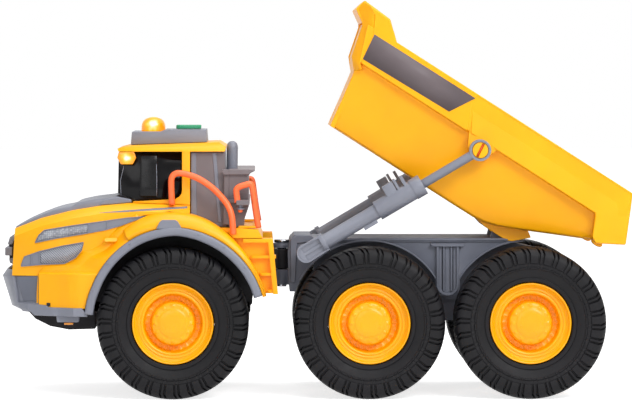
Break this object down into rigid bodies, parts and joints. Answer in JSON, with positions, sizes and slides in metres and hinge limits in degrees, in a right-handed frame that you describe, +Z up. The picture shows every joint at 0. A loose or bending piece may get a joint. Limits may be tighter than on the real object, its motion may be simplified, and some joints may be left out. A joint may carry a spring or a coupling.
{
  "type": "toy articulated dump truck",
  "caption": "Toy articulated dump truck with a steering hinge, free wheels and a tipping bed lifted by two mock cylinders.",
  "frame": {"origin": "centre of the overall box, on the floor under the tyres, with the bed raised", "axes": "+X towards the tail of the bed, -X towards the nose; +Y to the right-hand side; +Z up"},
  "size_m": [0.335, 0.116, 0.2104],
  "materials": {
    "yellow": "satin moulded plastic",
    "rim": "satin moulded plastic",
    "grey": "satin moulded plastic",
    "dark": "satin moulded plastic",
    "black": "high gloss black plastic",
    "tyre": "moulded soft plastic",
    "orange": "satin moulded plastic",
    "amber": "clear amber plastic",
    "green": "satin moulded plastic",
    "steel": "bright steel pin"
  },
  "bodies": {
    "rear_frame": {"rear_frame": "dark", "hitch_pin": "steel", "bed_hinge_pin": "steel", "axle_middle": "steel", "axle_rear": "steel"},
    "front_unit": {"front_chassis": "dark", "axle_front": "steel", "body_shell": "yellow", "fender_left": "yellow", "fender_right": "yellow", "cab_roof": "yellow", "ladder_left": "yellow", "ladder_right": "yellow", "hood_top": "grey", "grille_upper_left": "grey", "grille_upper_right": "grey", "grille_lower_left": "grey", "grille_lower_right": "grey", "front_grille_bar": "grey", "front_bumper": "grey", "fender_flare_left": "grey", "fender_flare_right": "grey", "cab_rear": "grey", "roof_module": "grey", "air_box": "grey", "exhaust_stack": "dark", "cab_windows": "black", "battery_box": "black", "handrail_front_left": "orange", "handrail_front_right": "orange", "handrail_rear_left": "orange", "handrail_rear_right": "orange", "beacon": "amber", "cab_lamp_left": "amber", "cab_lamp_right": "amber", "marker_lamp_left": "amber", "marker_lamp_right": "amber", "sound_button": "green"},
    "dump_bed": {"dump_bed": "yellow"},
    "barrel_left": {"cylinder_barrel_left": "grey"},
    "rod_left": {"cylinder_rod_left": "grey", "rod_pin_left": "yellow"},
    "barrel_right": {"cylinder_barrel_right": "grey"},
    "rod_right": {"cylinder_rod_right": "grey", "rod_pin_right": "yellow"},
    "wheel_front_left": {"tyre_front_left": "tyre", "rim_front_left": "rim"},
    "wheel_front_right": {"tyre_front_right": "tyre", "rim_front_right": "rim"},
    "wheel_middle_left": {"tyre_middle_left": "tyre", "rim_middle_left": "rim"},
    "wheel_middle_right": {"tyre_middle_right": "tyre", "rim_middle_right": "rim"},
    "wheel_rear_left": {"tyre_rear_left": "tyre", "rim_rear_left": "rim"},
    "wheel_rear_right": {"tyre_rear_right": "tyre", "rim_rear_right": "rim"}
  },
  "joints": [
    {"name": "articulation", "type": "hinge", "parent": "rear_frame", "child": "front_unit", "pos_m": [-0.01837, 0, 0.07], "axis": [0, 0, 1], "range_deg": [-10, 10]},
    {"name": "bed_tilt", "type": "hinge", "parent": "rear_frame", "child": "dump_bed", "pos_m": [0.09813, 0, 0.0885], "axis": [0, 1, 0], "range_deg": [-32.6, 0]},
    {"name": "cylinder_pivot_left", "type": "hinge", "parent": "rear_frame", "child": "barrel_left", "pos_m": [-0.00587, -0.0465, 0.0768], "axis": [0, 1, 0], "range_deg": [-0.83, 0.5]},
    {"name": "cylinder_stroke_left", "type": "slide", "parent": "barrel_left", "child": "rod_left", "axis": [0.8606, 0, 0.5092], "range_m": [-0.0251, 0]},
    {"name": "cylinder_pivot_right", "type": "hinge", "parent": "rear_frame", "child": "barrel_right", "pos_m": [-0.00587, 0.0465, 0.0768], "axis": [0, 1, 0], "range_deg": [-0.83, 0.5]},
    {"name": "cylinder_stroke_right", "type": "slide", "parent": "barrel_right", "child": "rod_right", "axis": [0.8606, 0, 0.5092], "range_m": [-0.0251, 0]},
    {"name": "wheel_front_left_spin", "type": "hinge", "parent": "front_unit", "child": "wheel_front_left", "pos_m": [-0.07607, -0.042, 0.04], "axis": [0, 1, 0], "continuous": true},
    {"name": "wheel_front_right_spin", "type": "hinge", "parent": "front_unit", "child": "wheel_front_right", "pos_m": [-0.07607, 0.042, 0.04], "axis": [0, 1, 0], "continuous": true},
    {"name": "wheel_middle_left_spin", "type": "hinge", "parent": "rear_frame", "child": "wheel_middle_left", "pos_m": [0.02753, -0.042, 0.04], "axis": [0, 1, 0], "continuous": true},
    {"name": "wheel_middle_right_spin", "type": "hinge", "parent": "rear_frame", "child": "wheel_middle_right", "pos_m": [0.02753, 0.042, 0.04], "axis": [0, 1, 0], "continuous": true},
    {"name": "wheel_rear_left_spin", "type": "hinge", "parent": "rear_frame", "child": "wheel_rear_left", "pos_m": [0.11243, -0.042, 0.04], "axis": [0, 1, 0], "continuous": true},
    {"name": "wheel_rear_right_spin", "type": "hinge", "parent": "rear_frame", "child": "wheel_rear_right", "pos_m": [0.11243, 0.042, 0.04], "axis": [0, 1, 0], "continuous": true}
  ],
  "couplings": [
    {"joint": "cylinder_pivot_left", "follows": "bed_tilt", "ratio": 0.01},
    {"joint": "cylinder_stroke_left", "follows": "bed_tilt", "m_per_rad": 0.0438},
    {"joint": "cylinder_pivot_right", "follows": "bed_tilt", "ratio": 0.01},
    {"joint": "cylinder_stroke_right", "follows": "bed_tilt", "m_per_rad": 0.0438}
  ]
}
